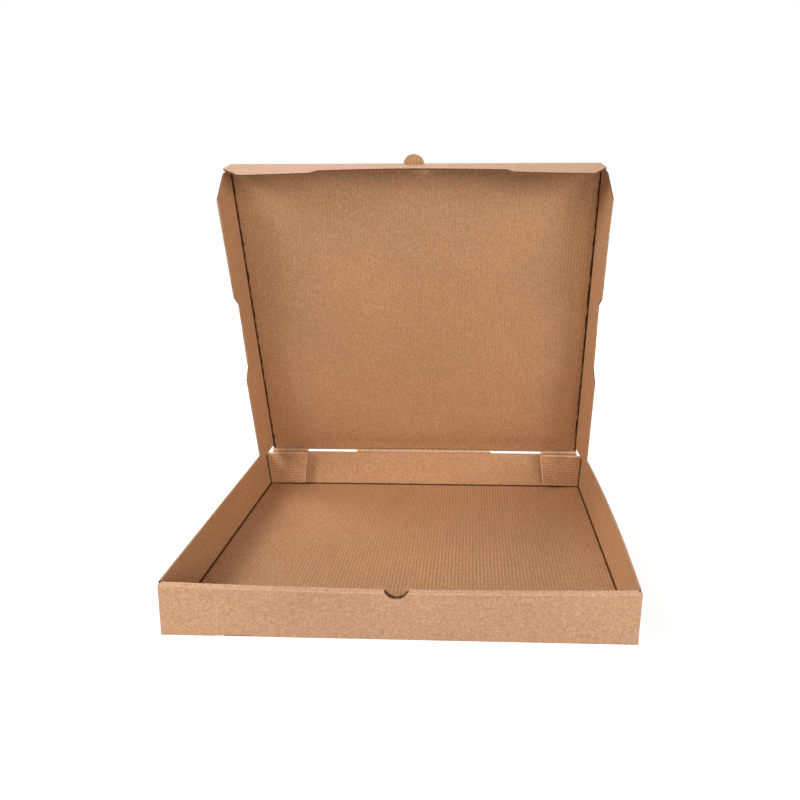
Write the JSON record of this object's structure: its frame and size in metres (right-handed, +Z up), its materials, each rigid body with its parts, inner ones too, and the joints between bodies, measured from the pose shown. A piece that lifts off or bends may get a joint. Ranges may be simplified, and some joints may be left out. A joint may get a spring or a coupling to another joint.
{
  "type": "pizza box",
  "caption": "Square corrugated kraft carton for a pizza: shallow tray with a rolled front wall and a hinged lid whose three edge flaps tuck into the tray.",
  "frame": {"origin": "centre of the tray's underside, on the surface the box stands on", "axes": "+X to the right seen from the front, +Y from the front wall towards the hinge, +Z up"},
  "size_m": [0.3713, 0.3692, 0.3688],
  "materials": {
    "kraft_board": "matte"
  },
  "bodies": {
    "tray": {"tray": "kraft_board"},
    "lid_panel": {"lid_panel": "kraft_board"},
    "lid_left_flap": {"lid_left_flap": "kraft_board"},
    "lid_right_flap": {"lid_right_flap": "kraft_board"},
    "lid_front_flap": {"lid_front_flap": "kraft_board"}
  },
  "joints": [
    {"name": "lid_hinge", "type": "hinge", "parent": "tray", "child": "lid_panel", "pos_m": [0, 0.18138, 0.0431], "axis": [-1, 0, 0], "range_deg": [-65.7, 114.3]},
    {"name": "left_flap_fold", "type": "hinge", "parent": "lid_panel", "child": "lid_left_flap", "pos_m": [-0.1743, 0.18138, 0.0431], "axis": [0, 0.4115, -0.9114], "range_deg": [-9.86, 17.14]},
    {"name": "right_flap_fold", "type": "hinge", "parent": "lid_panel", "child": "lid_right_flap", "pos_m": [0.1743, 0.18138, 0.0431], "axis": [0, -0.4115, 0.9114], "range_deg": [-9.86, 17.14]},
    {"name": "front_flap_fold", "type": "hinge", "parent": "lid_panel", "child": "lid_front_flap", "pos_m": [0, 0.03842, 0.35972], "axis": [-1, 0, 0], "range_deg": [-8.5, 81.5]}
  ],
  "couplings": [
    {"joint": "left_flap_fold", "follows": "lid_hinge", "ratio": 0.15},
    {"joint": "right_flap_fold", "follows": "lid_hinge", "ratio": 0.15}
  ]
}
